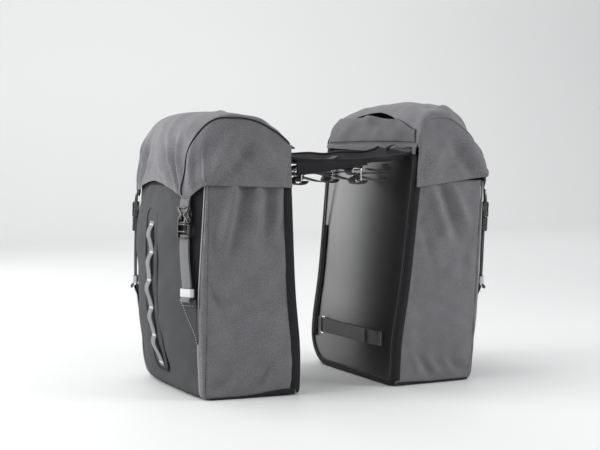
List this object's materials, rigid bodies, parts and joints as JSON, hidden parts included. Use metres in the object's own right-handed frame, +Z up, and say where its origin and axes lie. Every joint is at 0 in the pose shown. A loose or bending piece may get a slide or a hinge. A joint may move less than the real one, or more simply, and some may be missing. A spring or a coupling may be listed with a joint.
{
  "type": "double pannier bag",
  "caption": "Pair of lidded bicycle panniers joined by a fabric bridge that lies over the rack, with buckled straps, rack straps and stiff back panels.",
  "frame": {"origin": "middle of the bounding box, on the floor under the bags", "axes": "+X from the left bag to the right bag, +Y along the bicycle, +Z up"},
  "size_m": [0.6038, 0.3332, 0.485],
  "materials": {
    "end_fabric": "coated woven polyester, dark heather grey",
    "front_fabric": "smooth tarpaulin-like dark grey",
    "lid_fabric": "coated woven polyester, mid grey",
    "back_sheet": "satin black sheet",
    "black_fabric": "black woven nylon",
    "black_webbing": "black nylon webbing",
    "grey_webbing": "grey nylon webbing",
    "reflective_elastic": "reflective knitted elastic",
    "buckle_plastic": "moulded acetal",
    "ring_metal": "bright plated steel",
    "cord": "black elastic cord",
    "board": "polyethylene board"
  },
  "bodies": {
    "bridge": {"bridge_panel": "black_fabric", "bridge_binding": "black_fabric", "bridge_webbing": "black_webbing", "rack_loops": "black_webbing"},
    "left_rings": {"left_rack_rings": "ring_metal"},
    "right_rings": {"right_rack_rings": "ring_metal"},
    "left_bag": {"left_back_panel": "back_sheet", "left_stiffener_boards": "board", "left_edge_binding": "black_fabric", "left_front_panel": "front_fabric", "left_near_end_panel": "end_fabric", "left_far_end_panel": "end_fabric", "left_base_panel": "black_fabric", "left_collar": "black_fabric", "left_drawcord": "cord", "left_cord_lock": "buckle_plastic", "left_chain_patch": "front_fabric", "left_daisy_chain": "grey_webbing", "left_strap_anchors": "grey_webbing", "left_rack_strap": "black_webbing", "left_strap_ring": "ring_metal", "left_cord_sleeve": "black_fabric", "left_elastic_cord": "cord"},
    "left_lid": {"left_lid": "lid_fabric", "left_lid_piping": "black_fabric", "left_lid_tabs": "grey_webbing", "left_female_buckles": "buckle_plastic"},
    "left_straps": {"left_straps": "grey_webbing", "left_keepers": "reflective_elastic"},
    "left_near_buckle": {"left_near_male_buckle": "buckle_plastic"},
    "left_far_buckle": {"left_far_male_buckle": "buckle_plastic"},
    "left_plunger": {"left_lock_plunger": "buckle_plastic"},
    "left_handle": {"left_grab_handle": "black_webbing"},
    "right_bag": {"right_back_panel": "back_sheet", "right_stiffener_boards": "board", "right_edge_binding": "black_fabric", "right_front_panel": "front_fabric", "right_near_end_panel": "end_fabric", "right_far_end_panel": "end_fabric", "right_base_panel": "black_fabric", "right_collar": "black_fabric", "right_drawcord": "cord", "right_cord_lock": "buckle_plastic", "right_chain_patch": "front_fabric", "right_daisy_chain": "grey_webbing", "right_strap_anchors": "grey_webbing", "right_rack_strap": "black_webbing", "right_strap_ring": "ring_metal", "right_cord_sleeve": "black_fabric", "right_elastic_cord": "cord"},
    "right_lid": {"right_lid": "lid_fabric", "right_lid_piping": "black_fabric", "right_lid_tabs": "grey_webbing", "right_female_buckles": "buckle_plastic"},
    "right_straps": {"right_straps": "grey_webbing", "right_keepers": "reflective_elastic"},
    "right_near_buckle": {"right_near_male_buckle": "buckle_plastic"},
    "right_far_buckle": {"right_far_male_buckle": "buckle_plastic"},
    "right_plunger": {"right_lock_plunger": "buckle_plastic"},
    "right_handle": {"right_grab_handle": "black_webbing"}
  },
  "joints": [
    {"name": "left_rings_swing", "type": "hinge", "parent": "bridge", "child": "left_rings", "pos_m": [-0.07873, -0.06, 0.3665], "axis": [0, 1, 0], "range_deg": [-6, 6]},
    {"name": "right_rings_swing", "type": "hinge", "parent": "bridge", "child": "right_rings", "pos_m": [0.03308, -0.06, 0.3665], "axis": [0, 1, 0], "range_deg": [-6, 6]},
    {"name": "left_bag_swing", "type": "hinge", "parent": "bridge", "child": "left_bag", "pos_m": [-0.11419, 0, 0.405], "axis": [0, 1, 0], "range_deg": [-8, 40]},
    {"name": "left_lid_open", "type": "hinge", "parent": "left_bag", "child": "left_lid", "pos_m": [-0.11444, 0, 0.412], "axis": [0, 1, 0], "range_deg": [0, 75]},
    {"name": "left_straps_fall", "type": "hinge", "parent": "left_bag", "child": "left_straps", "pos_m": [-0.28552, 0, 0.158], "axis": [0, -1, 0], "range_deg": [0, 74]},
    {"name": "left_near_buckle_release", "type": "slide", "parent": "left_straps", "child": "left_near_buckle", "axis": [-0.0214, -0.0095, -0.9997], "range_m": [0, 0.012]},
    {"name": "left_far_buckle_release", "type": "slide", "parent": "left_straps", "child": "left_far_buckle", "axis": [-0.0214, 0.0095, -0.9997], "range_m": [0, 0.012]},
    {"name": "left_cord_lock_press", "type": "slide", "parent": "left_bag", "child": "left_plunger", "axis": [0, 0, 1], "range_m": [-0.0028, 0], "stiffness_N_per_m": 400, "springref_m": 0.002},
    {"name": "left_handle_lift", "type": "hinge", "parent": "left_bag", "child": "left_handle", "pos_m": [-0.11426, -0.108, 0.4081], "axis": [0, -1, 0], "range_deg": [0, 25]},
    {"name": "right_bag_swing", "type": "hinge", "parent": "bridge", "child": "right_bag", "pos_m": [0.12709, 0, 0.405], "axis": [0, -1, 0], "range_deg": [-8, 40]},
    {"name": "right_lid_open", "type": "hinge", "parent": "right_bag", "child": "right_lid", "pos_m": [0.12789, 0, 0.412], "axis": [0, -1, 0], "range_deg": [0, 75]},
    {"name": "right_straps_fall", "type": "hinge", "parent": "right_bag", "child": "right_straps", "pos_m": [0.27897, 0, 0.158], "axis": [0, 1, 0], "range_deg": [0, 67]},
    {"name": "right_near_buckle_release", "type": "slide", "parent": "right_straps", "child": "right_near_buckle", "axis": [-0.0505, 0.0225, -0.9985], "range_m": [0, 0.012]},
    {"name": "right_far_buckle_release", "type": "slide", "parent": "right_straps", "child": "right_far_buckle", "axis": [-0.0505, -0.0225, -0.9985], "range_m": [0, 0.012]},
    {"name": "right_cord_lock_press", "type": "slide", "parent": "right_bag", "child": "right_plunger", "axis": [0, 0, 1], "range_m": [-0.0028, 0], "stiffness_N_per_m": 400, "springref_m": 0.002},
    {"name": "right_handle_lift", "type": "hinge", "parent": "right_bag", "child": "right_handle", "pos_m": [0.12732, -0.108, 0.4081], "axis": [0, 1, 0], "range_deg": [0, 25]}
  ],
  "couplings": [
    {"joint": "left_straps_fall", "follows": "left_lid_open", "ratio": 0.954},
    {"joint": "right_straps_fall", "follows": "right_lid_open", "ratio": 0.855}
  ]
}
